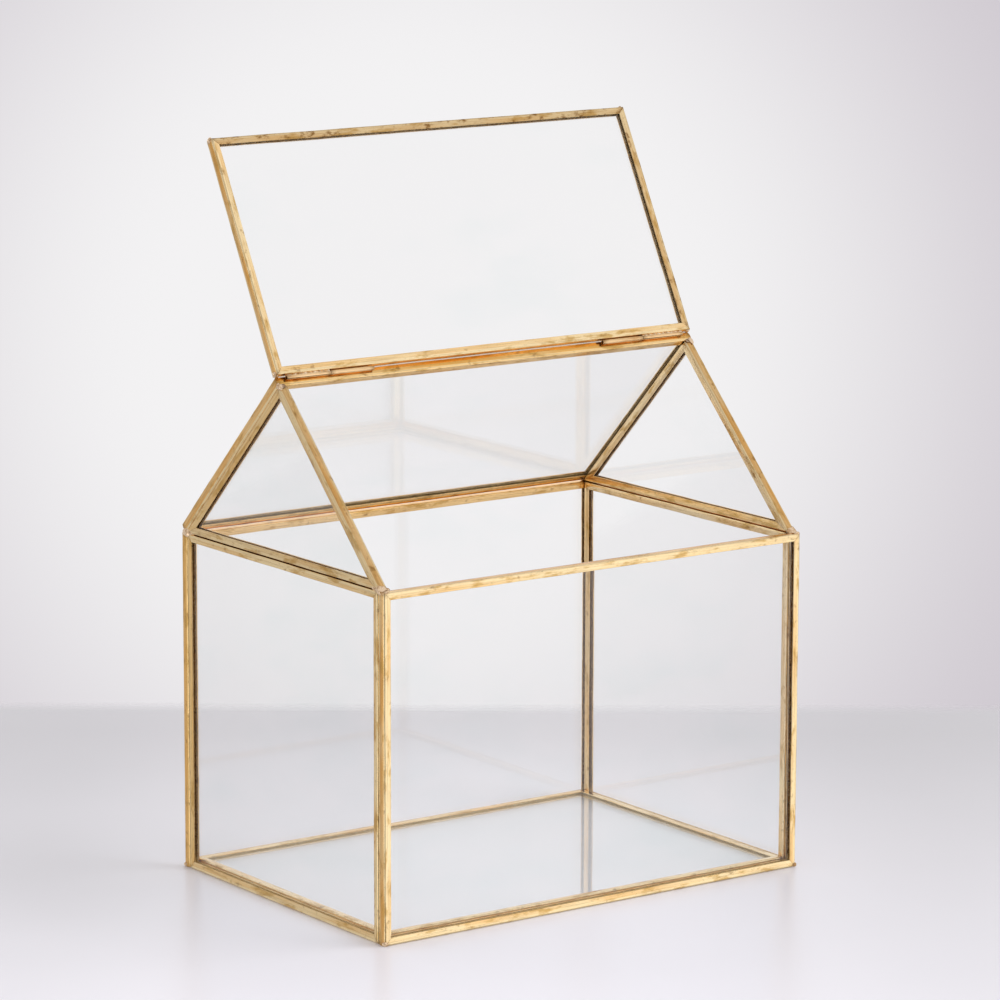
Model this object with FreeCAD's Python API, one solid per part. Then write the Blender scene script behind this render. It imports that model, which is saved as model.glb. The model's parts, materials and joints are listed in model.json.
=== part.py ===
import FreeCAD, Part
import math
import os

# House-shaped glass card box. Flat panes sit in folded U-channel rails (came), soldered at the corners.
# The front roof slope is a lid that turns on two tube hinges along the ridge; it is modelled standing open.
# +X runs along the ridge, +Y to the back, +Z up. The origin is the centre of the footprint, at the bottom.
# All sizes are in millimetres and degrees.

# Driving dimensions: the box
LENGTH = 250.0             # outside, along the ridge
DEPTH = 178.0              # outside, front to back
WALL_HEIGHT = 171.0        # bottom of the box to the top of the walls
ROOF_PITCH = 45.0          # slope of both roof planes above the horizontal
LID_LEAN = 28.0            # how far the open lid leans back past the vertical

# Driving dimensions: rails and panes
CAME_DEPTH = 5.2           # outside of a channel, across the pane
CAME_LEG = 3.8             # outside width of a channel's legs, in the plane of the pane
BRASS = 0.5                # thickness of the brass strip
BEND = 0.6                 # outside radius where the strip is folded
GLASS = 3.0                # thickness of a pane
EDGE_BED = 0.4             # glue between a pane's edge and the bottom of its channel
GLUE_RECESS = 0.4          # how far the glue stops short of the edge of the legs

# Driving dimensions: hinges
KNUCKLE_RADIUS = 1.25      # outside of a hinge tube
PIN_RADIUS = 0.65
PIN_CLEARANCE = 0.05       # radial, pin in the lid's knuckle
PIN_RECESS = 1.0           # how far the pin ends inside the tubes
KNUCKLE_LENGTH = 25.0
KNUCKLE_GAP = 0.2          # between the two knuckles of a hinge
HINGE_INSET = 5.5          # end of the box to the outer end of a hinge
HINGE_STANDOFF = 0.2       # solder between a knuckle and the rail that carries it
HINGE_SOLDER_WIDTH = 2.2
HINGE_SOLDER_HEIGHT = 0.75

# Driving dimensions: gaps and solder
LID_GAP = 0.2              # closed lid above the gables and the front wall
STOP_GAP = 0.2             # open lid above the corner of the ridge rail that stops it
BEAD_WIDTH = 3.2           # corner bead of solder
BEAD_CHAMFER = 0.9         # its rounded edges, as flats
BEAD_INSET = 1.0           # its centre, in from each outside face

# A solid smaller than this is a sliver left by a cut, in cubic millimetres.
SLIVER = 0.02


def vec(x, y, z):
    return FreeCAD.Vector(x, y, z)


def polygon_face(points):
    return Part.Face(Part.makePolygon(points + [points[0]]))


def inset(corners, distance):
    """Corners of a convex plane outline, moved inwards by the same distance from every edge."""
    count = len(corners)
    middle = sum(corners, vec(0, 0, 0)) * (1.0 / count)
    moved = []
    for i, corner in enumerate(corners):
        before = (corners[i - 1] - corner).normalize()
        after = (corners[(i + 1) % count] - corner).normalize()
        bisector = (before + after).normalize()
        half_angle = before.getAngle(after) / 2
        if bisector.dot(middle - corner) < 0:
            bisector = -bisector
        moved.append(corner + bisector * (distance / math.sin(half_angle)))
    return moved


def slab(corners, normal, low, high):
    """A plate over a plane outline, between two distances along its normal."""
    face = polygon_face([corner + normal * low for corner in corners])
    return face.extrude(normal * (high - low))


def channel_section(start, inward, normal):
    """The U of one rail, with rounded folds, as a face at one end of its edge."""
    def at(q, n):
        return start + inward * q + normal * n

    shift = BEND * (1 - math.sqrt(0.5))
    far = CAME_DEPTH
    edges = [
        Part.makeLine(at(CAME_LEG, 0), at(BEND, 0)),
        Part.Arc(at(BEND, 0), at(shift, shift), at(0, BEND)).toShape(),
        Part.makeLine(at(0, BEND), at(0, far - BEND)),
        Part.Arc(at(0, far - BEND), at(shift, far - shift), at(BEND, far)).toShape(),
        Part.makeLine(at(BEND, far), at(CAME_LEG, far)),
        Part.makeLine(at(CAME_LEG, far), at(CAME_LEG, far - BRASS)),
        Part.makeLine(at(CAME_LEG, far - BRASS), at(BRASS, far - BRASS)),
        Part.makeLine(at(BRASS, far - BRASS), at(BRASS, BRASS)),
        Part.makeLine(at(BRASS, BRASS), at(CAME_LEG, BRASS)),
        Part.makeLine(at(CAME_LEG, BRASS), at(CAME_LEG, 0)),
    ]
    return Part.Face(Part.Wire(edges))


def rail(corners, normal, index):
    """One mitred length of channel along the edge from corner index to the next."""
    start = corners[index]
    end = corners[(index + 1) % len(corners)]
    inner = inset(corners, CAME_LEG)
    inner_start = inner[index]
    inner_end = inner[(index + 1) % len(corners)]
    along = (end - start).normalize()
    inward = inner_start - start
    inward = (inward - along * inward.dot(along)).normalize()
    length = (end - start).Length
    bar = channel_section(start, inward, normal).extrude(along * length)
    mitre = slab([start, end, inner_end, inner_start], normal, 0, CAME_DEPTH)
    return bar.common(mitre).Solids[0]


def glazed_frame(name, corners, normal, edge_names):
    """All pieces of one pane: its glass, its rails and the glue that fills its channels."""
    middle = CAME_DEPTH / 2
    pieces = {}
    for index, edge_name in enumerate(edge_names):
        pieces[f"{name}_{edge_name}_rail"] = rail(corners, normal, index)
    glass_outline = inset(corners, BRASS + EDGE_BED)
    glass = slab(glass_outline, normal, middle - GLASS / 2, middle + GLASS / 2)
    glue_outside = slab(inset(corners, BRASS), normal, BRASS, CAME_DEPTH - BRASS)
    glue_inside = slab(inset(corners, CAME_LEG - GLUE_RECESS), normal, 0, CAME_DEPTH)
    pieces[f"{name}_glass"] = glass
    pieces[f"{name}_glazing_glue"] = glue_outside.cut(glue_inside).cut(glass).Solids[0]
    return pieces


def wall_corners(x0, x1, y0, y1, z0, z1):
    """Corners of an upright rectangle, anticlockwise from the bottom of its first end."""
    return [vec(x0, y0, z0), vec(x1, y1, z0), vec(x1, y1, z1), vec(x0, y0, z1)]


# Places that follow from the driving dimensions
half_length = LENGTH / 2
half_depth = DEPTH / 2
inner_x = half_length - CAME_DEPTH
inner_y = half_depth - CAME_DEPTH
pitch = math.radians(ROOF_PITCH)
lean = math.radians(LID_LEAN)

# The roof's outside plane reaches the wall's outside face, so its inside plane starts further in.
eave_y = half_depth - CAME_DEPTH * math.sin(pitch)
ridge_z = WALL_HEIGHT + eave_y * math.tan(pitch)
ridge = vec(0, 0, ridge_z)

# Directions in the plane across the ridge
back_out = vec(0, math.sin(pitch), math.cos(pitch))
back_up = vec(0, -math.cos(pitch), math.sin(pitch))
front_out = vec(0, -math.sin(pitch), math.cos(pitch))
front_down = vec(0, -math.cos(pitch), -math.sin(pitch))
open_up = vec(0, math.sin(lean), math.cos(lean))
open_out = vec(0, math.cos(lean), -math.sin(lean))

# The hinge axis stands off the ridge rail's web. Its place along the web is the one where the open lid's
# lower edge comes to rest on the outer corner of that rail.
axis_offset = KNUCKLE_RADIUS + HINGE_STANDOFF
stop_reach = axis_offset - STOP_GAP + axis_offset * back_up.dot(open_up)
axis_along = CAME_DEPTH - stop_reach / back_out.dot(open_up)
axis = ridge + back_out * axis_along + back_up * axis_offset

# The axis in the lid's own directions: up from its lower edge, and out from its inside face
axis_up = -axis_offset
axis_out = (axis - ridge).dot(front_out) - LID_GAP
closed_edge = axis + front_down * -axis_up - front_out * axis_out
lid_length = (closed_edge.z - WALL_HEIGHT - LID_GAP) / math.sin(pitch)
open_edge = axis - open_up * axis_up - open_out * axis_out
lid_range = 180 + ROOF_PITCH - (90 - LID_LEAN)


def case_frames():
    """The eight fixed panes."""
    pieces = {}
    sides = ["bottom", "right", "top", "left"]
    ends = ["bottom", "back", "top", "front"]
    outward = {"front": vec(0, 1, 0), "back": vec(0, -1, 0), "left": vec(1, 0, 0), "right": vec(-1, 0, 0)}
    for name, y in (("front", -half_depth), ("back", half_depth)):
        corners = wall_corners(-half_length, half_length, y, y, 0, WALL_HEIGHT)
        pieces.update(glazed_frame(name + "_wall", corners, outward[name], sides))
    for name, x in (("left", -half_length), ("right", half_length)):
        corners = wall_corners(x, x, -inner_y, inner_y, 0, WALL_HEIGHT)
        pieces.update(glazed_frame(name + "_wall", corners, outward[name], ends))
        gable = [vec(x, -eave_y, WALL_HEIGHT), vec(x, eave_y, WALL_HEIGHT), vec(x, 0, ridge_z)]
        pieces.update(glazed_frame(name + "_gable", gable, outward[name], ["bottom", "back", "front"]))
    base = [vec(-inner_x, -inner_y, 0), vec(inner_x, -inner_y, 0)]
    base += [vec(inner_x, inner_y, 0), vec(-inner_x, inner_y, 0)]
    pieces.update(glazed_frame("base", base, vec(0, 0, 1), ["front", "right", "back", "left"]))
    slope = [vec(-half_length, eave_y, WALL_HEIGHT), vec(half_length, eave_y, WALL_HEIGHT)]
    slope += [vec(half_length, 0, ridge_z), vec(-half_length, 0, ridge_z)]
    pieces.update(glazed_frame("back_roof", slope, back_out, ["eave", "right", "ridge", "left"]))
    return pieces


def lid_corners():
    top_edge = open_edge + open_up * lid_length
    shift = vec(half_length, 0, 0)
    return [open_edge - shift, open_edge + shift, top_edge + shift, top_edge - shift]


def tube(x0, x1, bore):
    """A knuckle on the hinge axis between two places along the ridge."""
    start = vec(x0, axis.y, axis.z)
    direction = vec(1, 0, 0)
    outside = Part.makeCylinder(KNUCKLE_RADIUS, x1 - x0, start, direction)
    return outside.cut(Part.makeCylinder(bore, x1 - x0, start, direction))


def hinge_solder(x0, x1, towards_rail, across):
    """Solder that fills the gap between a knuckle and its rail, with a fillet on each side."""
    start = vec(x0, axis.y, axis.z) + towards_rail * axis_offset
    reach = across * (HINGE_SOLDER_WIDTH / 2)
    height = towards_rail * -HINGE_SOLDER_HEIGHT
    section = polygon_face([start - reach, start + reach, start + reach + height, start - reach + height])
    block = section.extrude(vec(x1 - x0, 0, 0))
    return block.cut(Part.makeCylinder(KNUCKLE_RADIUS, x1 - x0, vec(x0, axis.y, axis.z), vec(1, 0, 0)))


def hinge_spans(side):
    """Where the outer and the inner knuckle of one hinge lie along the ridge, low end first."""
    outer_end = half_length - HINGE_INSET
    split = outer_end - KNUCKLE_LENGTH
    outer = (split, outer_end)
    inner = (split - KNUCKLE_GAP - KNUCKLE_LENGTH, split - KNUCKLE_GAP)
    if side == "right":
        return outer, inner
    return (-outer[1], -outer[0]), (-inner[1], -inner[0])


def bead(centre, up, out):
    """A bead with flats for its rounded edges, square to the directions given."""
    half = BEAD_WIDTH / 2
    across = vec(half, 0, 0)
    rise = up * half
    corners = [centre - across - rise, centre + across - rise, centre + across + rise, centre - across + rise]
    block = slab(corners, out, -half, half)
    return block.makeChamfer(BEAD_CHAMFER, block.Edges)


def space_along(edge, direction, length, normal, low, high):
    """A long block across the whole box: a strip from an edge along a direction, between two distances."""
    start = edge - direction * LID_GAP
    end = edge + direction * (length + LID_GAP)
    side = vec(LENGTH, 0, 0)
    return slab([start - side, start + side, end + side, end - side], normal, low, high)


def corner_centres(half_x, half_y, z):
    """The four bead centres at one level, one at each corner."""
    dx = half_x - BEAD_INSET
    dy = half_y - BEAD_INSET
    return [vec(sx * dx, sy * dy, z) for sx in (-1, 1) for sy in (-1, 1)]


def trimmed(shapes, neighbours, keep_out):
    """Beads cut back to the surfaces of what they join and to the space they must stay out of."""
    solids = []
    for shape in shapes:
        box = shape.BoundBox
        near = [piece for piece in neighbours if piece.BoundBox.intersect(box)]
        rest = shape.cut(near + keep_out)
        solids += [solid for solid in rest.Solids if solid.Volume > SLIVER]
    return solids


def case_solder(pieces, hinge_parts):
    """Beads at the box's corners and at the ends of the ridge, and the strips under the case's knuckles."""
    centres = corner_centres(half_length, half_depth, BEAD_INSET)
    centres += corner_centres(half_length, half_depth, WALL_HEIGHT)
    ridge_bead_z = ridge_z - BEAD_INSET / math.cos(pitch)
    centres += [vec(side * (half_length - BEAD_INSET), 0, ridge_bead_z) for side in (-1, 1)]
    beads = [bead(centre, vec(0, 0, 1), vec(0, -1, 0)) for centre in centres]
    ground = Part.makeBox(LENGTH * 2, DEPTH * 2, BEAD_WIDTH * 2, vec(-LENGTH, -DEPTH, -BEAD_WIDTH * 2))
    closed_length = lid_length + BEAD_WIDTH / 2 - BEAD_INSET
    closed_lid = space_along(closed_edge, front_down, closed_length, front_out, -LID_GAP, CAME_DEPTH)
    return trimmed(beads, pieces, [ground, closed_lid]) + hinge_parts


def lid_solder(pieces, hinge_parts):
    """Beads at the lid's four corners, and the strips under the lid's knuckles."""
    beads = []
    for side in (-1, 1):
        for height in (BEAD_INSET, lid_length - BEAD_INSET):
            centre = open_edge + open_up * height + open_out * (CAME_DEPTH / 2)
            beads.append(bead(centre + vec(side * (half_length - BEAD_INSET), 0, 0), open_up, open_out))
    below = open_edge - open_up * (CAME_DEPTH + LID_GAP)
    ridge_side = space_along(below, open_up, CAME_DEPTH - LID_GAP, open_out, -CAME_DEPTH, CAME_DEPTH * 2)
    return trimmed(beads, pieces, [ridge_side]) + hinge_parts


def hinges():
    """Knuckles, pins and the solder strips that hold the knuckles, sorted by what carries them."""
    pieces = {}
    pins = []
    case_strips = []
    lid_strips = []
    for side in ("left", "right"):
        outer, inner = hinge_spans(side)
        pieces[f"{side}_hinge_lid_knuckle"] = tube(outer[0], outer[1], PIN_RADIUS + PIN_CLEARANCE)
        pieces[f"{side}_hinge_case_knuckle"] = tube(inner[0], inner[1], PIN_RADIUS)
        low = min(outer[0], inner[0]) + PIN_RECESS
        high = max(outer[1], inner[1]) - PIN_RECESS
        pins.append(Part.makeCylinder(PIN_RADIUS, high - low, vec(low, axis.y, axis.z), vec(1, 0, 0)))
        lid_strips.append(hinge_solder(outer[0], outer[1], open_up, open_out))
        case_strips.append(hinge_solder(inner[0], inner[1], -back_up, back_out))
    pieces["hinge_pins"] = Part.Compound(pins)
    return pieces, case_strips, lid_strips


def build():
    case = case_frames()
    lid = glazed_frame("lid", lid_corners(), open_out, ["hinge_side", "right", "front_edge", "left"])
    hinge_pieces, case_strips, lid_strips = hinges()
    pieces = dict(case)
    pieces.update(lid)
    pieces.update(hinge_pieces)
    pieces["case_solder"] = Part.Compound(case_solder(list(case.values()), case_strips))
    pieces["lid_solder"] = Part.Compound(lid_solder(list(lid.values()), lid_strips))
    return pieces


def main():
    os.makedirs("parts", exist_ok=True)
    pieces = build()
    for name, shape in pieces.items():
        shape.exportStep(f"parts/{name}.step")
    print(len(pieces), "nodes")
    print("hinge axis y, z:", round(axis.y, 4), round(axis.z, 4))
    print("lid range:", round(lid_range, 3))
    print("lid length:", round(lid_length, 3), "ridge height:", round(ridge_z, 3))


main()
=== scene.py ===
"""Looks of the glass card box: brass cames, clear panes, solder and the hinge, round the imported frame."""

import json
import math

import bmesh
import bpy
from mathutils import Matrix, Vector, noise


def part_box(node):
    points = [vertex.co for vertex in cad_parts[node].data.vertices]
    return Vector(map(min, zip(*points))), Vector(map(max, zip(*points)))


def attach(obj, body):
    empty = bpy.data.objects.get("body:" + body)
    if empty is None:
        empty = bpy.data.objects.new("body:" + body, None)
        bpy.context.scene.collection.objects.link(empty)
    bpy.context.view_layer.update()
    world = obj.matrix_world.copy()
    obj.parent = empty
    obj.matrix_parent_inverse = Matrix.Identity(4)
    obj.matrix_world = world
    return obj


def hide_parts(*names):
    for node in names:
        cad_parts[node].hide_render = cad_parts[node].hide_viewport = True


MM = 0.001

# The camera: place in metres, turns in radians, lens and sensor in millimetres.
CAMERA_PLACE = (-1.34683, -1.87860, 0.63215)
CAMERA_YAW = -0.623898
CAMERA_PITCH = 0.190131
CAMERA_ROLL = 0.0028446
CAMERA_LENS = 171.285
CAMERA_SENSOR = 36.0
CAMERA_NEAR = 0.05
CAMERA_FAR = 60.0

# CAD shapes: corners this close are one corner, and faces this nearly in line are one face.
WELD = 0.002 * MM
IN_LINE = math.radians(0.6)

# Brass came rails: a channel rolled from strip, swept along each CAD rail and cut at its mitres.
STRIP = 0.5 * MM
BEND = 0.85 * MM  # outer radius of the two folds
CROWN = 0.16 * MM  # how far the web's middle stands proud of its edges
LEAN = 0.14 * MM  # how far the tip of each leg leans in
LIP = 0.16 * MM
WEB_DEPTH = 0.7 * BEND  # sides of the section shallower than this belong to the web
LEG_STEPS = 4
BEND_STEPS = 6
WEB_STEPS = 8
SEGMENT = 5.0 * MM
END_CUT = 0.2  # a face that looks this much along the rail is its cut end
CUT_GRIP = 0.0005 * MM
MITRE_GAP = 0.05 * MM
JOINT_GAP = 0.13 * MM
WAVE_SEED = 1
WAVE = 0.11 * MM
WAVE_SCALE = 38.0
RIPPLE = 0.035 * MM
RIPPLE_SCALE = 240.0
SHARP = math.radians(32)
RAIL_OFFSET = 0.37  # each rail reads its streaks this much further on than the rail before it

# The two rails at the hinge bulge a little towards each other and close the gap between them.
HINGE_BULGE = {"lid_hinge_side_rail": 0.05 * MM, "back_roof_ridge_rail": 0.18 * MM}
# These two were soldered tight, so no dark seam shows between them.
TIGHT_RAILS = ("front_wall_left_rail", "left_wall_front_rail")
# How much darker some rails have turned than the rest.
TARNISH = {
    "lid_front_edge_rail": 0.32,
    "lid_right_rail": 0.22,
    "left_gable_front_rail": 0.12,
    "left_gable_back_rail": 0.05,
    "right_gable_front_rail": 0.12,
    "left_gable_bottom_rail": 0.08,
}
# Painted reflection: how far some rails are tinted to a deeper gold beside the rest, standing in for brass
# mirroring brass.
PAINTED_REFLECTION_SHARE = {
    "back_roof_eave_rail": 0.5,
    "back_wall_top_rail": 0.5,
    "back_roof_ridge_rail": 0.35,
    "left_wall_back_rail": 0.5,
    "back_wall_left_rail": 0.5,
    "right_gable_bottom_rail": 0.4,
    "left_gable_back_rail": 0.3,
    "right_wall_back_rail": 0.3,
}

# Brass finish.
STREAK_SHARE = 0.3
BRASS_BUMP = 0.3
PATINA_BAND = 0.16
STAINED_END = 3.5 * MM

# Solder.
BEAD_REACH = 3.0 * MM
STRIP_LENGTH = 8.0 * MM
SOLDER_VOXEL = 0.25 * MM
SOLDER_UNEVEN = 0.28
SOLDER_UNEVEN_SCALE = 1.3
CORNER_SWELL = 1.05
STRIP_LUMP_GAP = 0.9 * MM
JOINT_SEED_STEP = 1.7
# Heights between which a bead belongs to the eaves or to the ridge.
EAVE_LOW = 0.16
EAVE_HIGH = 0.18
RIDGE_LOW = 0.25
RIDGE_HIGH = 0.257
# How far solder may stand over the slope under the closed lid, and how far past the lid's edge this holds.
LID_CLEARANCE = 0.2 * MM
LID_EDGE_ROOM = 2.2 * MM
# Each lump of a joint: how far in from the corner's bead, how far back, how far up, and its half sizes.
EAVE_LUMPS = (
    (1.2 * MM, 0.6 * MM, 0.0, (2.0 * MM, 1.5 * MM, 1.2 * MM)),
    (0.2 * MM, 0.3 * MM, -0.9 * MM, (1.2 * MM, 1.3 * MM, 1.6 * MM)),
    (1.2 * MM, 2.6 * MM, 1.5 * MM, (2.2 * MM, 1.9 * MM, 1.6 * MM)),
    (3.4 * MM, 2.2 * MM, 0.9 * MM, (1.5 * MM, 1.4 * MM, 1.0 * MM)),
    (-0.3 * MM, 3.6 * MM, 0.1 * MM, (1.1 * MM, 3.8 * MM, 2.4 * MM)),
    (-0.2 * MM, 7.4 * MM, 1.0 * MM, (0.9 * MM, 3.2 * MM, 1.6 * MM)),
)
RIDGE_LUMPS = (
    (-0.1 * MM, 0.0, 0.9 * MM, (1.1 * MM, 2.6 * MM, 1.9 * MM)),
    (1.4 * MM, 1.4 * MM, 2.3 * MM, (1.8 * MM, 1.5 * MM, 0.9 * MM)),
)

# Hinge knuckles, rolled from strip.
KNUCKLE_BORE = 0.72 * MM
KNUCKLE_ROWS = 26
KNUCKLE_STEPS = 30
KNUCKLE_SEAM = math.radians(14)
KNUCKLE_RIM = 0.35 * MM
KNUCKLE_TAPER = 0.12 * MM
KNUCKLE_DENT = 0.05 * MM
KNUCKLE_DENT_SCALE = 160.0
# Which way the seam looks, about the hinge from +Y towards +Z.
LID_SEAM_TURN = math.radians(200)
CASE_SEAM_TURN = math.radians(250)

# Glue near the table is pale up to the first height and has its own colour above the second.
PALE_GLUE_HEIGHTS = (3.5 * MM, 8.0 * MM)

# Panes whose glue is paler than the rest.
GLUE_FINISHES = {"base": "pale_glue", "back_roof": "amber_glue", "lid": "amber_glue"}

# Stage. Depths run away from the camera and widths run to its right, both from the middle of the box.
FLOOR_SIZE = 9.0
# Painted shade on the table: from the near depth to the darkest depth it dims to the far shade.
FLOOR_NEAR = -0.24
FLOOR_DARKEST = 0.283
FLOOR_END = 0.343
FLOOR_END_SOFT = (0.014, 0.016)
FLOOR_FAR_SHADE = 0.66
# Painted shade towards the table's right and left sides.
FLOOR_RIGHT = (0.06, 0.24)
FLOOR_RIGHT_SHADE = 0.84
FLOOR_LEFT = (-0.24, -0.11)
FLOOR_LEFT_SHADE = 0.91
# The footprint's soft edge in x and y, and how much painted light brightens the table inside it.
FOOTPRINT_X = (0.11, 0.13)
FOOTPRINT_Y = (0.075, 0.095)
PAINTED_LIGHT_UNDER_BOX = 1.1
# Painted light and painted shadow on the table, where the panes would throw light and dim it: middle, inner
# and outer reach, and gain.
FLOOR_SPOTS = (
    ((0.03, 0.06, 0.0), 0.02, 0.27, 1.26),
    ((-0.17, 0.1, 0.0), 0.0, 0.14, 0.88),
)
# The backdrop: the direction of its lightest place, how far off it grows darker, how far off it is light
# again, and between which slopes down it turns grey.
BACKDROP_CENTRE = (0.5625, 0.8115, -0.1560)
BACKDROP_GLOW = (0.05, 0.158)
BACKDROP_BEYOND = (0.17, 0.3)
BACKDROP_STEEP = (-0.36, -0.28)
# Softboxes: name, place, what they point at, width and power.
SOFTBOXES = (
    ("key_softbox", (1.5, -1.3, 1.6), (0.0, 0.0, 0.1), 1.6, 17.0),
    ("top_softbox", (0.0, -0.3, 2.4), (0.0, 0.0, 0.0), 2.4, 19.0),
)
# Enough bounces to see through all the panes that stand one behind another.
BOUNCES = 20
CLEAR_BOUNCES = 24
STUDIO_LEVEL = 0.62
STUDIO_SQUASH = 1.8
# The studio's light and dark parts: direction, inner and outer reach, and what they add to the level.
STUDIO_PATCHES = (
    ((0.58, -0.81, -0.15), 0.35, 0.85, 0.5),
    ((0.58, -0.59, 0.58), 0.3, 0.8, 0.33),
    ((0.58, 0.81, 0.2), 0.4, 1.0, 0.42),
    ((-0.81, -0.58, -0.15), 0.3, 0.62, -0.4),
    ((-0.93, 0.36, -0.15), 0.16, 0.46, 1.2),
)


# ---------------------------------------------------------------- shader nodes


def add(tree, kind, inputs=None, **settings):
    """A new node with its settings, and each input set to a value or linked to a socket."""
    node = tree.nodes.new(kind)
    for name, value in settings.items():
        setattr(node, name, value)
    for name, value in (inputs or {}).items():
        if isinstance(value, bpy.types.NodeSocket):
            tree.links.new(value, node.inputs[name])
        else:
            node.inputs[name].default_value = value
    return node


def math_node(tree, operation, first, second=0.0, clamp=False):
    return add(tree, "ShaderNodeMath", {0: first, 1: second}, operation=operation, use_clamp=clamp).outputs[0]


def ramp(tree, value, low, high, to_low=0.0, to_high=1.0):
    """value taken smoothly from low..high to to_low..to_high."""
    inputs = {"Value": value, "From Min": low, "From Max": high, "To Min": to_low, "To Max": to_high}
    return add(tree, "ShaderNodeMapRange", inputs, interpolation_type="SMOOTHSTEP").outputs["Result"]


def mix_colour(tree, factor, first, second, blend="MIX"):
    node = add(tree, "ShaderNodeMix", data_type="RGBA", blend_type=blend)
    for index, value in ((0, factor), (6, first), (7, second)):
        if isinstance(value, bpy.types.NodeSocket):
            tree.links.new(value, node.inputs[index])
        else:
            node.inputs[index].default_value = value
    return node.outputs[2]


def noise_at(tree, vector, scale, detail=3.0, roughness=0.55, stretch=(1.0, 1.0, 1.0)):
    mapping = add(tree, "ShaderNodeMapping", {"Vector": vector, "Scale": stretch})
    inputs = {"Vector": mapping.outputs[0], "Scale": scale, "Detail": detail, "Roughness": roughness}
    return add(tree, "ShaderNodeTexNoise", inputs).outputs["Fac"]


def new_material(name):
    material = bpy.data.materials.new(name)
    material.use_nodes = True
    material.node_tree.nodes.clear()
    return material, material.node_tree


def finish_material(tree, surface):
    output = add(tree, "ShaderNodeOutputMaterial")
    tree.links.new(surface, output.inputs["Surface"])


def linear(red, green, blue):
    """A colour given as 0 to 255 display values, in the linear values that shaders take."""
    values = []
    for channel in (red, green, blue):
        share = channel / 255
        values.append(share / 12.92 if share <= 0.04045 else ((share + 0.055) / 1.055) ** 2.4)
    return (*values, 1.0)


# ---------------------------------------------------------------- materials


def brass(name, light, deep, olive, patina, rough, patina_from=0.58):
    """Rolled brass: bright metal with drawn streaks, olive and brown patina, and dark unpolished insides,
    with painted shade on the webs, painted highlights along the folds, and a painted reflection of brass in
    brass on some rails.
    """
    material, tree = new_material(name)
    place = add(tree, "ShaderNodeAttribute", attribute_name="rail_place").outputs["Vector"]
    inside, web, fold, tarnish, painted_reflection, end = [
        add(tree, "ShaderNodeAttribute", attribute_name=mark).outputs["Fac"]
        for mark in ("inside", "web", "fold", "tarnish", "painted_reflection", "end_distance")
    ]

    streaks = noise_at(tree, place, 1.0, 3.0, 0.6, (45.0, 2100.0, 2100.0))
    broad = noise_at(tree, place, 1.0, 2.0, 0.5, (26.0, 150.0, 150.0))
    blotch = noise_at(tree, place, 1.0, 4.0, 0.6, (75.0, 260.0, 260.0))
    mottle = noise_at(tree, place, 1.0, 5.0, 0.62, (190.0, 330.0, 330.0))
    specks = noise_at(tree, place, 1.0, 3.0, 0.7, (900.0, 1300.0, 1300.0))

    # Painted shade: the webs are pushed half way toward the deeper gold. Painted highlight: the folds are
    # pulled back to the light colour. The broad noise is tone that differs at random.
    painted_web_shade = math_node(tree, "MULTIPLY", web, 0.5)
    tone_and_web_shade = math_node(tree, "ADD", ramp(tree, broad, 0.34, 0.7, 0.0, 0.5), painted_web_shade)
    tone_shade_and_fold_highlight = math_node(tree, "SUBTRACT", tone_and_web_shade, fold, clamp=True)
    plain = mix_colour(tree, tone_shade_and_fold_highlight, light, deep)
    # Painted reflection: the rails marked for it are mixed toward this deeper gold, as if brass mirrored
    # brass.
    tone = mix_colour(tree, painted_reflection, plain, linear(250, 198, 112))
    toned = mix_colour(tree, ramp(tree, blotch, 0.5, 0.66, 0.0, 0.75), tone, olive)
    lines = math_node(tree, "MULTIPLY", ramp(tree, streaks, 0.42, 0.72), STREAK_SHARE)
    streaked = mix_colour(tree, lines, toned, patina)

    dulled = math_node(tree, "ADD", mottle, math_node(tree, "MULTIPLY", tarnish, 0.2))
    worn = ramp(tree, dulled, patina_from, patina_from + PATINA_BAND)
    spots = ramp(tree, specks, 0.6, 0.74, 0.0, 0.65)
    both = math_node(tree, "MAXIMUM", worn, spots)
    at_end = ramp(tree, end, 0.0, STAINED_END, 0.5, 0.0)
    stained = math_node(tree, "ADD", at_end, tarnish)
    outer = math_node(tree, "ADD", math_node(tree, "MULTIPLY", both, 0.6), stained)
    within = math_node(tree, "MULTIPLY", inside, 0.6)
    mask = math_node(tree, "MAXIMUM", outer, within, clamp=True)
    colour = mix_colour(tree, mask, streaked, patina)

    drawn = ramp(tree, streaks, 0.2, 0.8, rough[0], rough[1])
    shine = math_node(tree, "ADD", drawn, math_node(tree, "MULTIPLY", mask, 0.16))
    dents = math_node(tree, "MULTIPLY", mottle, 0.8)
    height = math_node(tree, "ADD", math_node(tree, "MULTIPLY", streaks, 0.5), dents)
    lumps = add(tree, "ShaderNodeBump", {"Height": height, "Strength": BRASS_BUMP, "Distance": 0.15 * MM})
    shader = add(
        tree,
        "ShaderNodeBsdfPrincipled",
        {"Base Color": colour, "Metallic": 1.0, "Roughness": shine, "Normal": lumps.outputs[0]},
    )
    finish_material(tree, shader.outputs[0])
    return material


def solder_material(name, light, dark, rough):
    """Tin solder, tinted pink by the brass plating over it: satin lumps with dull flux stains."""
    material, tree = new_material(name)
    place = add(tree, "ShaderNodeTexCoord").outputs["Object"]
    lumps = noise_at(tree, place, 420.0, 4.0, 0.6)
    fine = noise_at(tree, place, 2400.0, 3.0, 0.6)
    colour = mix_colour(tree, ramp(tree, lumps, 0.4, 0.66), light, dark)
    shine = ramp(tree, fine, 0.25, 0.75, rough[0], rough[1])
    height = math_node(tree, "ADD", lumps, math_node(tree, "MULTIPLY", fine, 0.25))
    bump = add(tree, "ShaderNodeBump", {"Height": height, "Strength": 0.35, "Distance": 0.2 * MM})
    shader = add(
        tree,
        "ShaderNodeBsdfPrincipled",
        {"Base Color": colour, "Metallic": 1.0, "Roughness": shine, "Normal": bump.outputs[0]},
    )
    finish_material(tree, shader.outputs[0])
    return material


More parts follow.
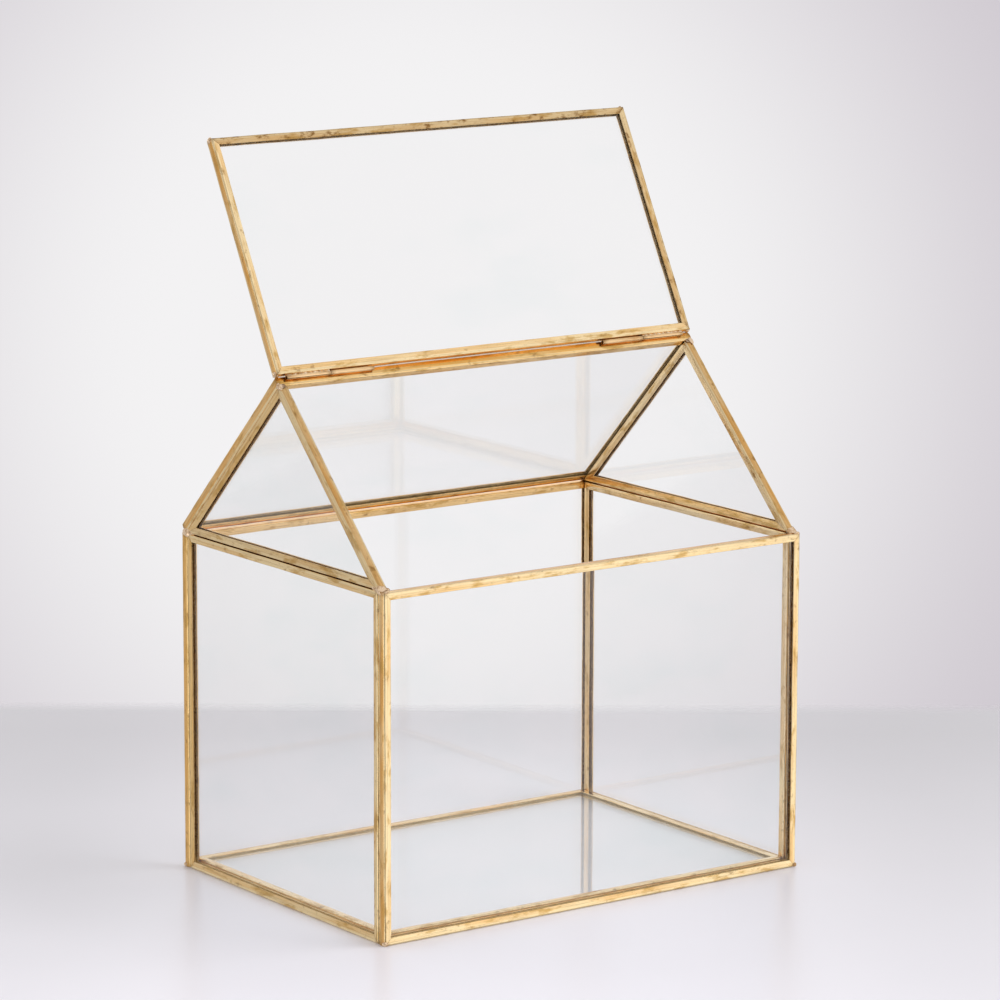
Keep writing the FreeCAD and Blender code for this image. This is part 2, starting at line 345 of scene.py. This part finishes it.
def wire_material(name):
    """Drawn steel pin wire with lengthwise die lines and brown tarnish."""
    material, tree = new_material(name)
    place = add(tree, "ShaderNodeTexCoord").outputs["Object"]
    lines = noise_at(tree, place, 1.0, 2.0, 0.6, (60.0, 3200.0, 3200.0))
    stain = noise_at(tree, place, 500.0, 4.0, 0.6)
    colour = mix_colour(tree, ramp(tree, stain, 0.42, 0.62), linear(150, 138, 122), linear(86, 66, 46))
    bump = add(tree, "ShaderNodeBump", {"Height": lines, "Strength": 0.2, "Distance": 0.05 * MM})
    shader = add(
        tree,
        "ShaderNodeBsdfPrincipled",
        {
            "Base Color": colour,
            "Metallic": 1.0,
            "Roughness": ramp(tree, lines, 0.3, 0.7, 0.32, 0.5),
            "Normal": bump.outputs[0],
        },
    )
    finish_material(tree, shader.outputs[0])
    return material


def glue_material(name, light, dark, grain):
    """Glazing compound, speckled and slightly lumpy where it has squeezed out against the glass."""
    material, tree = new_material(name)
    place = add(tree, "ShaderNodeTexCoord").outputs["Object"]
    patches = noise_at(tree, place, 330.0, 4.0, 0.6)
    grit = noise_at(tree, place, 1300.0, 3.0, 0.65)
    base = mix_colour(tree, ramp(tree, patches, 0.4, 0.64), light, dark)
    above_table = add(tree, "ShaderNodeSeparateXYZ", {0: place}).outputs["Z"]
    pale_near_table = mix_colour(tree, ramp(tree, above_table, *PALE_GLUE_HEIGHTS), linear(226, 196, 140), base)
    colour = mix_colour(tree, ramp(tree, grit, 0.5, 0.64), pale_near_table, grain)
    height = math_node(tree, "ADD", patches, math_node(tree, "MULTIPLY", grit, 0.3))
    bump = add(tree, "ShaderNodeBump", {"Height": height, "Strength": 0.6, "Distance": 0.2 * MM})
    shader = add(
        tree,
        "ShaderNodeBsdfPrincipled",
        {
            "Base Color": colour,
            "Roughness": ramp(tree, grit, 0.3, 0.7, 0.45, 0.75),
            "Normal": bump.outputs[0],
        },
    )
    finish_material(tree, shader.outputs[0])
    return material


def glass_material(name):
    """Clear float glass: it bends and mirrors what is seen, has faint smears, and lets light through."""
    material, tree = new_material(name)
    place = add(tree, "ShaderNodeTexCoord").outputs["Object"]
    smears = noise_at(tree, place, 1.0, 4.0, 0.6, (14.0, 14.0, 30.0))
    tint = mix_colour(tree, ramp(tree, smears, 0.45, 0.75), linear(254, 254, 254), linear(252, 253, 253))
    glass = add(tree, "ShaderNodeBsdfGlass", {"Color": tint, "Roughness": 0.0, "IOR": 1.5})
    path = add(tree, "ShaderNodeLightPath")
    passing = math_node(tree, "MAXIMUM", path.outputs["Is Shadow Ray"], path.outputs["Is Diffuse Ray"])
    clear = add(tree, "ShaderNodeBsdfTransparent", {"Color": linear(247, 248, 248)})
    shader = add(tree, "ShaderNodeMixShader", {0: passing, 1: glass.outputs[0], 2: clear.outputs[0]})
    finish_material(tree, shader.outputs[0])
    return material


MATERIALS = {
    "brass_came": brass(
        "brass_came",
        linear(255, 230, 182),
        linear(238, 180, 100),
        linear(206, 162, 84),
        linear(136, 94, 42),
        (0.12, 0.24),
    ),
    "hinge_brass": brass(
        "hinge_brass",
        linear(252, 218, 172),
        linear(232, 184, 124),
        linear(206, 156, 100),
        linear(132, 96, 56),
        (0.16, 0.28),
        patina_from=0.6,
    ),
    "solder": solder_material("solder", linear(250, 222, 190), linear(190, 150, 106), (0.14, 0.34)),
    "pin_wire": wire_material("pin_wire"),
    "clear_glass": glass_material("clear_glass"),
}
for glue_name, glue_tones in {
    "glazing_glue": ((140, 94, 42), (94, 58, 22), (198, 162, 106)),
    "pale_glue": ((240, 222, 184), (222, 198, 152), (250, 240, 216)),
    "amber_glue": ((176, 146, 98), (128, 104, 66), (210, 184, 138)),
}.items():
    MATERIALS[glue_name] = glue_material(glue_name, *[linear(*tone) for tone in glue_tones])


# ---------------------------------------------------------------- mesh helpers

# Without a seed the noise starts from the time of day, and each run would bend the metal differently.
noise.seed_set(WAVE_SEED)


def clean_mesh(source):
    """A bmesh of a CAD node's shape, with its triangles joined back into whole faces."""
    mesh = bpy.data.meshes.new("copy")
    corners = [v.co for v in source.data.vertices]
    mesh.from_pydata(corners, [], [list(p.vertices) for p in source.data.polygons])
    shape = bmesh.new()
    shape.from_mesh(mesh)
    bpy.data.meshes.remove(mesh)
    bmesh.ops.remove_doubles(shape, verts=shape.verts, dist=WELD)
    bmesh.ops.dissolve_limit(shape, angle_limit=IN_LINE, verts=shape.verts, edges=shape.edges)
    return shape


def new_piece(name, shape, material, body, replaced):
    mesh = bpy.data.meshes.new(name)
    shape.to_mesh(mesh)
    shape.free()
    mesh.materials.append(MATERIALS[material])
    piece = bpy.data.objects.new(name, mesh)
    bpy.context.scene.collection.objects.link(piece)
    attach(piece, body)
    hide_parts(*replaced)
    return piece


def waver(point):
    """How far hand-bent metal is off its drawing at a point. All rails share it, so joints stay shut."""
    slow = noise.noise_vector(point * WAVE_SCALE) * WAVE
    quick = noise.noise_vector(point * RIPPLE_SCALE) * RIPPLE
    return slow + quick


def mark_smooth(shape):
    for face in shape.faces:
        face.smooth = True
    for edge in shape.edges:
        edge.smooth = edge.calc_face_angle(0.0) < SHARP


# ---------------------------------------------------------------- rails


def pane_frame(pane):
    """A pane's middle and the direction square to it."""
    glass = nodes[pane + "_glass"].data
    largest = max(glass.polygons, key=lambda p: p.area)
    low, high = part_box(pane + "_glass")
    return (low + high) / 2, largest.normal.copy()


def rail_axes(shape, pane):
    """The rail's own directions: along its length, towards the middle of its pane, and square to the pane."""
    middle, square = pane_frame(pane)
    longest = max(shape.edges, key=lambda e: e.calc_length())
    along = (longest.verts[1].co - longest.verts[0].co).normalized()
    centre = sum((v.co for v in shape.verts), Vector()) / len(shape.verts)
    inward = middle - centre
    inward -= inward.dot(along) * along
    inward -= inward.dot(square) * square
    return along, inward.normalized(), square


def mitres(shape, along):
    """The middle and outward direction of each cut end of a rail."""
    ends = []
    for sign in (-1, 1):
        faces = [f for f in shape.faces if f.normal.dot(along) * sign > END_CUT]
        face = max(faces, key=lambda f: f.calc_area())
        ends.append((face.calc_center_median(), face.normal.copy()))
    return ends


def channel_line(width, leg):
    """The middle line of the rolled strip in section, from lip to lip, as (across, inward) points."""
    half = STRIP / 2
    radius = BEND - half
    points = []
    for step in range(LEG_STEPS + 1):
        reach = leg - (leg - BEND) * step / LEG_STEPS
        lean = LEAN * ((reach - BEND) / (leg - BEND)) ** 2
        points.append((half + lean, reach))
    for step in range(1, BEND_STEPS):
        angle = math.pi / 2 * step / BEND_STEPS
        rise = CROWN * step / BEND_STEPS
        points.append((BEND - radius * math.cos(angle), BEND - radius * math.sin(angle) + rise))
    for step in range(WEB_STEPS + 1):
        share = step / WEB_STEPS
        across = BEND + (width - 2 * BEND) * share
        points.append((across, half + CROWN * (2 * share - 1) ** 2))
    mirrored = [(width - across, inward) for across, inward in reversed(points[: LEG_STEPS + BEND_STEPS])]
    return points + mirrored


def channel_outline(width, leg):
    """The closed section of the rolled strip, and which of its sides lie inside the channel."""
    line = channel_line(width, leg)
    outer = []
    inner = []
    for index, (across, inward) in enumerate(line):
        before = Vector(line[max(index - 1, 0)])
        after = Vector(line[min(index + 1, len(line) - 1)])
        run = (after - before).normalized()
        side = Vector((-run.y, run.x)) * STRIP / 2
        point = Vector((across, inward))
        outer.append(point - side)
        inner.append(point + side)
    lips = []
    for near, tip_outer, tip_inner in ((1, outer[0], inner[0]), (-2, outer[-1], inner[-1])):
        run = (Vector(line[0 if near == 1 else -1]) - Vector(line[near])).normalized()
        wide = (tip_outer - tip_inner).normalized() * (STRIP / 2 - LIP)
        middle = (tip_outer + tip_inner) / 2 + run * LIP
        lips.append([middle + wide, middle - wide])
    outline = outer + [lips[1][0], lips[1][1]] + inner[::-1] + [lips[0][1], lips[0][0]]
    first_inner = len(outer) + 2
    inside = [first_inner <= i < first_inner + len(inner) - 1 for i in range(len(outline))]
    return outline, inside


def build_rail(name, pane, body, offset):
    """One came rail: the rolled channel swept between its two mitres, slightly wavy as bent by hand."""
    drawn = clean_mesh(nodes[name])
    along, inward, square = rail_axes(drawn, pane)
    spans = []
    for axis in (along, inward, square):
        reach = [v.co.dot(axis) for v in drawn.verts]
        spans.append((min(reach), max(reach)))
    (start, stop), (low_in, high_in), (low_sq, high_sq) = spans
    ends = mitres(drawn, along)
    drawn.free()
    if name in HINGE_BULGE:
        low_in -= HINGE_BULGE[name]
    elif name not in TIGHT_RAILS:
        low_in += JOINT_GAP
    outline, is_inside = channel_outline(high_sq - low_sq, high_in - low_in)

    shape = bmesh.new()
    inside = shape.faces.layers.float.new("inside")
    web = shape.faces.layers.float.new("web")
    fold = shape.faces.layers.float.new("fold")
    count = round((stop - start) / SEGMENT)
    rings = []
    for index in range(-1, count + 2):
        at = along * (start + (stop - start) * index / count)
        ring = [shape.verts.new(at + inward * (low_in + p.y) + square * (low_sq + p.x)) for p in outline]
        rings.append(ring)
    sides = len(outline)
    for ring, following in zip(rings, rings[1:]):
        for side in range(sides):
            other = (side + 1) % sides
            face = shape.faces.new((ring[side], ring[other], following[other], following[side]))
            face[inside] = float(is_inside[side])
            across = outline[side].x
            # The web and fold marks tell the brass shader where to paint shade on the webs and highlights
            # along the folds.
            face[web] = float(outline[side].y < WEB_DEPTH)
            face[fold] = float(outline[side].y < BEND and min(across, high_sq - low_sq - across) < BEND)
    for middle, outward in ends:
        everything = shape.verts[:] + shape.edges[:] + shape.faces[:]
        place = middle - outward * MITRE_GAP
        cut = bmesh.ops.bisect_plane(
            shape, geom=everything, dist=CUT_GRIP, plane_co=place, plane_no=outward, clear_outer=True
        )
        edge_loop = [g for g in cut["geom_cut"] if isinstance(g, bmesh.types.BMEdge)]
        bmesh.ops.contextual_create(shape, geom=edge_loop)
    bmesh.ops.triangulate(shape, faces=[f for f in shape.faces if len(f.verts) > 4])
    bmesh.ops.recalc_face_normals(shape, faces=shape.faces)

    place = shape.verts.layers.float_vector.new("rail_place")
    end = shape.verts.layers.float.new("end_distance")
    tarnish = shape.verts.layers.float.new("tarnish")
    # Each rail's share of painted reflection, read by the brass shader.
    painted_reflection = shape.verts.layers.float.new("painted_reflection")
    for vert in shape.verts:
        vert[tarnish] = TARNISH.get(name, 0.0)
        vert[painted_reflection] = PAINTED_REFLECTION_SHARE.get(name, 0.0)
        reach = vert.co.dot(along)
        vert[place] = Vector((reach + offset, vert.co.dot(inward) + offset, vert.co.dot(square)))
        vert[end] = min(reach - start, stop - reach)
    mark_smooth(shape)
    for vert in shape.verts:
        vert.co += waver(vert.co)
    return new_piece("rail_" + name, shape, "brass_came", body, [name])


# ---------------------------------------------------------------- solder


def islands(shape):
    """The separate lumps of a mesh, each a list of its corners' places, in the mesh's own order."""
    reached = set()
    found = []
    for first in shape.verts:
        if first in reached:
            continue
        reached.add(first)
        stack = [first]
        lump = []
        while stack:
            vert = stack.pop()
            lump.append(vert.co.copy())
            for edge in vert.link_edges:
                other = edge.other_vert(vert)
                if other not in reached:
                    reached.add(other)
                    stack.append(other)
        found.append(lump)
    return found


def box_of(points):
    low = Vector([min(p[i] for p in points) for i in range(3)])
    high = Vector([max(p[i] for p in points) for i in range(3)])
    return low, high


def near_each_other(first, second):
    """Whether two boxes come within BEAD_REACH of each other."""
    for k in range(3):
        if first[0][k] - BEAD_REACH >= second[1][k] or second[0][k] - BEAD_REACH >= first[1][k]:
            return False
    return True


def joined_lumps(lumps):
    """The lumps as boxes, with boxes near each other joined into one."""
    boxes = [box_of(lump) for lump in lumps]
    merged = True
    while merged:
        merged = False
        for i in range(len(boxes)):
            for j in range(i + 1, len(boxes)):
                if near_each_other(boxes[i], boxes[j]):
                    boxes[i] = box_of([*boxes[i], *boxes[j]])
                    del boxes[j]
                    merged = True
                    break
            if merged:
                break
    return boxes


def add_ball(shape, middle, half, seed):
    """An uneven round lump of solder about a point, with the half sizes given."""
    ball = bmesh.ops.create_icosphere(shape, subdivisions=3, radius=1.0)
    for vert in ball["verts"]:
        swell = 1 + SOLDER_UNEVEN * noise.noise(vert.co * SOLDER_UNEVEN_SCALE + Vector((seed, 0.0, seed)))
        vert.co = Vector([middle[i] + half[i] * vert.co[i] * swell for i in range(3)])


def add_corner_lump(shape, low, high, seed):
    """A small corner's solder: one uneven drop."""
    size = (high - low) / 2
    add_ball(shape, (low + high) / 2, [CORNER_SWELL * c for c in size], seed)


def add_joint(shape, low, high, lumps, seed):
    """The solder where several rails meet: drops run together, each placed from the corner's bead."""
    middle = (low + high) / 2
    side = math.copysign(1.0, middle.x)
    face = math.copysign(1.0, middle.y)
    for inward, back, up, half in lumps:
        place = Vector((middle.x - side * inward, middle.y - face * back, middle.z + up))
        add_ball(shape, place, half, seed)
        seed += JOINT_SEED_STEP


def add_strip(shape, low, high, seed):
    """The run of solder that holds a knuckle on: a chain of lumps along it."""
    length = high.x - low.x
    count = round(length / STRIP_LUMP_GAP)
    middle = (low + high) / 2
    size = (high - low) / 2
    for index in range(count + 1):
        x = low.x + size.z + (length - 2 * size.z) * index / count
        swell = 0.86 + 0.16 * math.sin(index * 1.9 + seed) + 0.08 * math.sin(index * 0.7)
        half = (size.z * 1.3, size.y * swell, size.z * swell)
        add_ball(shape, Vector((x, middle.y, middle.z)), half, seed + index)


def fused(shape):
    """Overlapping lumps run together into one smooth skin."""
    mesh = bpy.data.meshes.new("lumps")
    shape.to_mesh(mesh)
    shape.free()
    holder = bpy.data.objects.new("lumps", mesh)
    bpy.context.scene.collection.objects.link(holder)
    skin = holder.modifiers.new("skin", "REMESH")
    skin.mode = "VOXEL"
    skin.voxel_size = SOLDER_VOXEL
    even = holder.modifiers.new("even", "SMOOTH")
    even.factor = 0.5
    even.iterations = 2
    made = holder.evaluated_get(bpy.context.evaluated_depsgraph_get())
    result = bmesh.new()
    result.from_mesh(made.to_mesh())
    made.to_mesh_clear()
    bpy.data.objects.remove(holder)
    bpy.data.meshes.remove(mesh)
    return result


def press_flat(skin):
    """Solder on the front corners and at the ridge, pressed down to where the closed lid passes over it."""
    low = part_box("left_gable_front_rail")[0]
    slope = low.z - low.y + LID_CLEARANCE
    foot = low.z + low.y - LID_EDGE_ROOM
    for vert in skin.verts:
        over = vert.co.z - vert.co.y - slope
        if over > 0 and vert.co.z + vert.co.y > foot:
            vert.co.y += over / 2
            vert.co.z -= over / 2


def build_solder(node, body):
    source = clean_mesh(nodes[node])
    boxes = joined_lumps(islands(source))
    source.free()
    shape = bmesh.new()
    for seed, (low, high) in enumerate(boxes):
        if high.x - low.x > STRIP_LENGTH:
            add_strip(shape, low, high, seed)
        elif EAVE_LOW < low.z < EAVE_HIGH:
            add_joint(shape, low, high, EAVE_LUMPS, seed)
        elif RIDGE_LOW < low.z < RIDGE_HIGH:
            add_joint(shape, low, high, RIDGE_LUMPS, seed)
        else:
            add_corner_lump(shape, low, high, seed)
    skin = fused(shape)
    if body == "case":
        press_flat(skin)
    for face in skin.faces:
        face.smooth = True
    return new_piece(node + "_beads", skin, "solder", body, [node])


# ---------------------------------------------------------------- hinge


def build_knuckle(name, body, turn):
    """A hinge knuckle: a tube rolled from strip, with an open seam, rounded rims and an uneven wall."""
    low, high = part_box(name)
    centre = (low + high) / 2
    radius = (high.z - low.z) / 2 - KNUCKLE_DENT
    shape = bmesh.new()
    place = shape.verts.layers.float_vector.new("rail_place")
    end = shape.verts.layers.float.new("end_distance")
    grid = []
    for row in range(KNUCKLE_ROWS + 1):
        x = low.x + (high.x - low.x) * row / KNUCKLE_ROWS
        middle = Vector((x, centre.y, centre.z))
        rim = min(x - low.x, high.x - x)
        taper = KNUCKLE_TAPER * max(0.0, 1 - rim / KNUCKLE_RIM) ** 2
        outer = []
        inner = []
        for step in range(KNUCKLE_STEPS + 1):
            angle = turn + KNUCKLE_SEAM / 2 + (2 * math.pi - KNUCKLE_SEAM) * step / KNUCKLE_STEPS
            spread = Vector((0.0, math.cos(angle), math.sin(angle)))
            bulge = noise.noise(Vector((x * KNUCKLE_DENT_SCALE, spread.y, spread.z))) * KNUCKLE_DENT
            outer.append(shape.verts.new(middle + spread * (radius + bulge - taper)))
            inner.append(shape.verts.new(middle + spread * KNUCKLE_BORE))
        grid.append((outer, inner))
    for (outer, inner), (next_outer, next_inner) in zip(grid, grid[1:]):
        for step in range(KNUCKLE_STEPS):
            shape.faces.new((outer[step], outer[step + 1], next_outer[step + 1], next_outer[step]))
            shape.faces.new((inner[step], next_inner[step], next_inner[step + 1], inner[step + 1]))
        for step in (0, KNUCKLE_STEPS):
            shape.faces.new((outer[step], next_outer[step], next_inner[step], inner[step]))
    for outer, inner in (grid[0], grid[-1]):
        for step in range(KNUCKLE_STEPS):
            shape.faces.new((outer[step], inner[step], inner[step + 1], outer[step + 1]))
    for vert in shape.verts:
        vert[place] = vert.co.copy()
        vert[end] = min(vert.co.x - low.x, high.x - vert.co.x)
    bmesh.ops.recalc_face_normals(shape, faces=shape.faces)
    mark_smooth(shape)
    return new_piece(name + "_rolled", shape, "hinge_brass", body, [name])


# ---------------------------------------------------------------- stage


def build_camera():
    data = bpy.data.cameras.new("camera")
    data.lens = CAMERA_LENS
    data.sensor_width = CAMERA_SENSOR
    data.clip_start = CAMERA_NEAR
    data.clip_end = CAMERA_FAR
    camera = bpy.data.objects.new("camera", data)
    turn = (
        Matrix.Rotation(CAMERA_YAW, 4, "Z")
        @ Matrix.Rotation(math.pi / 2 - CAMERA_PITCH, 4, "X")
        @ Matrix.Rotation(CAMERA_ROLL, 4, "Z")
    )
    camera.matrix_world = Matrix.Translation(CAMERA_PLACE) @ turn
    bpy.context.scene.collection.objects.link(camera)
    bpy.context.scene.camera = camera


def measure(tree, operation, first, second):
    """A number made from two vectors."""
    return add(tree, "ShaderNodeVectorMath", {0: first, 1: second}, operation=operation).outputs["Value"]


def floor_shading(tree, place, depth, across):
    """Painted light and shade on the table: darker far off and at the sides, lighter under the box and near
    it.
    """
    reach = {"Value": depth, "From Min": FLOOR_NEAR, "From Max": FLOOR_DARKEST}
    reach.update({"To Min": 1.0, "To Max": FLOOR_FAR_SHADE})
    shading = add(tree, "ShaderNodeMapRange", reach).outputs["Result"]
    ground = add(tree, "ShaderNodeSeparateXYZ", {0: place}).outputs
    in_x = ramp(tree, math_node(tree, "ABSOLUTE", ground["X"]), *FOOTPRINT_X)
    in_y = ramp(tree, math_node(tree, "ABSOLUTE", ground["Y"]), *FOOTPRINT_Y)
    parts = [
        ramp(tree, across, *FLOOR_RIGHT, 1.0, FLOOR_RIGHT_SHADE),
        ramp(tree, across, *FLOOR_LEFT, FLOOR_LEFT_SHADE, 1.0),
        ramp(tree, math_node(tree, "MAXIMUM", in_x, in_y), 0.0, 1.0, PAINTED_LIGHT_UNDER_BOX, 1.0),
    ]
    for middle, inner, outer, gain in FLOOR_SPOTS:
        parts.append(ramp(tree, measure(tree, "DISTANCE", place, middle), inner, outer, gain, 1.0))
    for part in parts:
        shading = math_node(tree, "MULTIPLY", shading, part)
    return shading


def table_material():
    """A pale, faintly grained table top, clear beyond its end and clear to mirrored rays."""
    material, tree = new_material("table_top")
    place = add(tree, "ShaderNodeNewGeometry").outputs["Position"]
    away = (-math.sin(CAMERA_YAW), math.cos(CAMERA_YAW), 0.0)
    depth = measure(tree, "DOT_PRODUCT", place, away)
    across = measure(tree, "DOT_PRODUCT", place, (away[1], -away[0], 0.0))
    far = ramp(tree, depth, FLOOR_END - FLOOR_END_SOFT[0], FLOOR_END + FLOOR_END_SOFT[1])
    grain = noise_at(tree, place, 900.0, 3.0, 0.6)
    cloud = noise_at(tree, place, 3.0, 3.0, 0.5)
    paint = mix_colour(tree, ramp(tree, cloud, 0.35, 0.65), linear(239, 237, 246), linear(242, 240, 249))
    # The table's colour carries its painted light and shade.
    colour = mix_colour(tree, 1.0, paint, floor_shading(tree, place, depth, across), "MULTIPLY")
    bump = add(tree, "ShaderNodeBump", {"Height": grain, "Strength": 0.05, "Distance": 0.05 * MM})
    top = add(
        tree,
        "ShaderNodeBsdfPrincipled",
        {"Base Color": colour, "Roughness": 0.3, "Specular IOR Level": 0.35, "Normal": bump.outputs[0]},
    )
    # The brass and the panes mirror the studio alone, and never the table.
    path = add(tree, "ShaderNodeLightPath").outputs
    mirrored = math_node(tree, "MINIMUM", path["Is Glossy Ray"], path["Is Reflection Ray"])
    unseen = math_node(tree, "MAXIMUM", far, mirrored)
    clear = add(tree, "ShaderNodeBsdfTransparent")
    shader = add(tree, "ShaderNodeMixShader", {0: unseen, 1: top.outputs[0], 2: clear.outputs[0]})
    finish_material(tree, shader.outputs[0])
    return material


def build_floor():
    """The table top, which ends in a straight soft line behind the box."""
    shape = bmesh.new()
    bmesh.ops.create_grid(shape, x_segments=1, y_segments=1, size=FLOOR_SIZE / 2)
    mesh = bpy.data.meshes.new("table_top")
    shape.to_mesh(mesh)
    shape.free()
    mesh.materials.append(table_material())
    floor = bpy.data.objects.new("table_top", mesh)
    bpy.context.scene.collection.objects.link(floor)


def bright_patch(tree, way, middle, inner, outer, strength, squash=1.0):
    """A soft patch on the studio's sphere: strength in its middle, nothing outside, flattened by squash."""
    stretch = (1.0, 1.0, squash)
    centre = Vector(middle).normalized()
    scaled = add(tree, "ShaderNodeVectorMath", {0: way, 1: stretch}, operation="MULTIPLY").outputs["Vector"]
    on_sphere = (centre.x, centre.y, centre.z * squash)
    return ramp(tree, measure(tree, "DISTANCE", scaled, on_sphere), inner, outer, strength, 0.0)


def build_world():
    """A pale paper backdrop to look at, and a soft white studio to be lit by."""
    world = bpy.data.worlds.new("studio")
    world.use_nodes = True
    tree = world.node_tree
    tree.nodes.clear()
    way = add(tree, "ShaderNodeTexCoord").outputs["Generated"]

    glow = bright_patch(tree, way, BACKDROP_CENTRE, *BACKDROP_GLOW, 1.0)
    beyond = bright_patch(tree, way, BACKDROP_CENTRE, *BACKDROP_BEYOND, -1.0)
    lit = math_node(tree, "ADD", glow, math_node(tree, "ADD", beyond, 1.0), clamp=True)
    paper = mix_colour(tree, lit, linear(207, 201, 208), linear(243, 242, 243))
    height = add(tree, "ShaderNodeSeparateXYZ", {0: way}).outputs["Z"]
    steep = ramp(tree, height, *BACKDROP_STEEP, 1.0, 0.0)
    seen = mix_colour(tree, steep, paper, linear(190, 187, 192))

    level = STUDIO_LEVEL
    for middle, inner, outer, strength in STUDIO_PATCHES:
        patch = bright_patch(tree, way, middle, inner, outer, strength, STUDIO_SQUASH)
        level = math_node(tree, "ADD", level, patch)
    path = add(tree, "ShaderNodeLightPath")
    looked_at = math_node(tree, "MAXIMUM", path.outputs["Is Camera Ray"], path.outputs["Is Transmission Ray"])
    studio = add(tree, "ShaderNodeBackground", {"Color": linear(255, 253, 251), "Strength": level})
    backdrop = add(tree, "ShaderNodeBackground", {"Color": seen, "Strength": 1.0})
    shader = add(tree, "ShaderNodeMixShader", {0: looked_at, 1: studio.outputs[0], 2: backdrop.outputs[0]})
    output = add(tree, "ShaderNodeOutputWorld")
    tree.links.new(shader.outputs[0], output.inputs["Surface"])
    bpy.context.scene.world = world


def build_light(name, place, aim, size, power):
    """A square softbox that lights the scene and is never seen itself."""
    data = bpy.data.lights.new(name, "AREA")
    data.shape = "SQUARE"
    data.size = size
    data.energy = power
    light = bpy.data.objects.new(name, data)
    light.location = place
    light.visible_glossy = False
    light.visible_transmission = False
    light.rotation_euler = (Vector(aim) - Vector(place)).to_track_quat("-Z", "Y").to_euler()
    bpy.context.scene.collection.objects.link(light)


# ---------------------------------------------------------------- the scene

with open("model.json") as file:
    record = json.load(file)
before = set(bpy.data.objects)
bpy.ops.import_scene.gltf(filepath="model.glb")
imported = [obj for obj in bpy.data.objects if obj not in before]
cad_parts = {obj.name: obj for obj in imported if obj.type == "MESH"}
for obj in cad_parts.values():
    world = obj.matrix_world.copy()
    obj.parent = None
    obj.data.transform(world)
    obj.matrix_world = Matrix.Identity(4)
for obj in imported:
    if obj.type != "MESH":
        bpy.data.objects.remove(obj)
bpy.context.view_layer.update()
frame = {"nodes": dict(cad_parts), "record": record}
nodes = frame["nodes"]

body_of = {}
for body_name, members in frame["record"]["behaviour"]["bodies"].items():
    for member in members:
        body_of[member] = body_name

for node in nodes.values():
    for holder in node.material_slots:
        holder.material = MATERIALS[holder.material.name.split(".")[0]]
for glue, finish in GLUE_FINISHES.items():
    nodes[glue + "_glazing_glue"].material_slots[0].material = MATERIALS[finish]

panes = sorted(n[: -len("_glass")] for n in nodes if n.endswith("_glass"))
rails = sorted(n for n in nodes if n.endswith("_rail"))
for rail_number, rail_name in enumerate(rails):
    pane_name = next(p for p in panes if rail_name.startswith(p + "_"))
    build_rail(rail_name, pane_name, body_of[rail_name], rail_number * RAIL_OFFSET)

build_solder("case_solder", "case")
build_solder("lid_solder", "lid")
for side in ("left", "right"):
    build_knuckle(side + "_hinge_lid_knuckle", "lid", LID_SEAM_TURN)
    build_knuckle(side + "_hinge_case_knuckle", "case", CASE_SEAM_TURN)

build_camera()
build_floor()
build_world()
for softbox in SOFTBOXES:
    build_light(*softbox)

scene = bpy.context.scene
scene.view_settings.view_transform = "Standard"
scene.cycles.transparent_max_bounces = CLEAR_BOUNCES
scene.cycles.max_bounces = BOUNCES
scene.cycles.transmission_bounces = BOUNCES
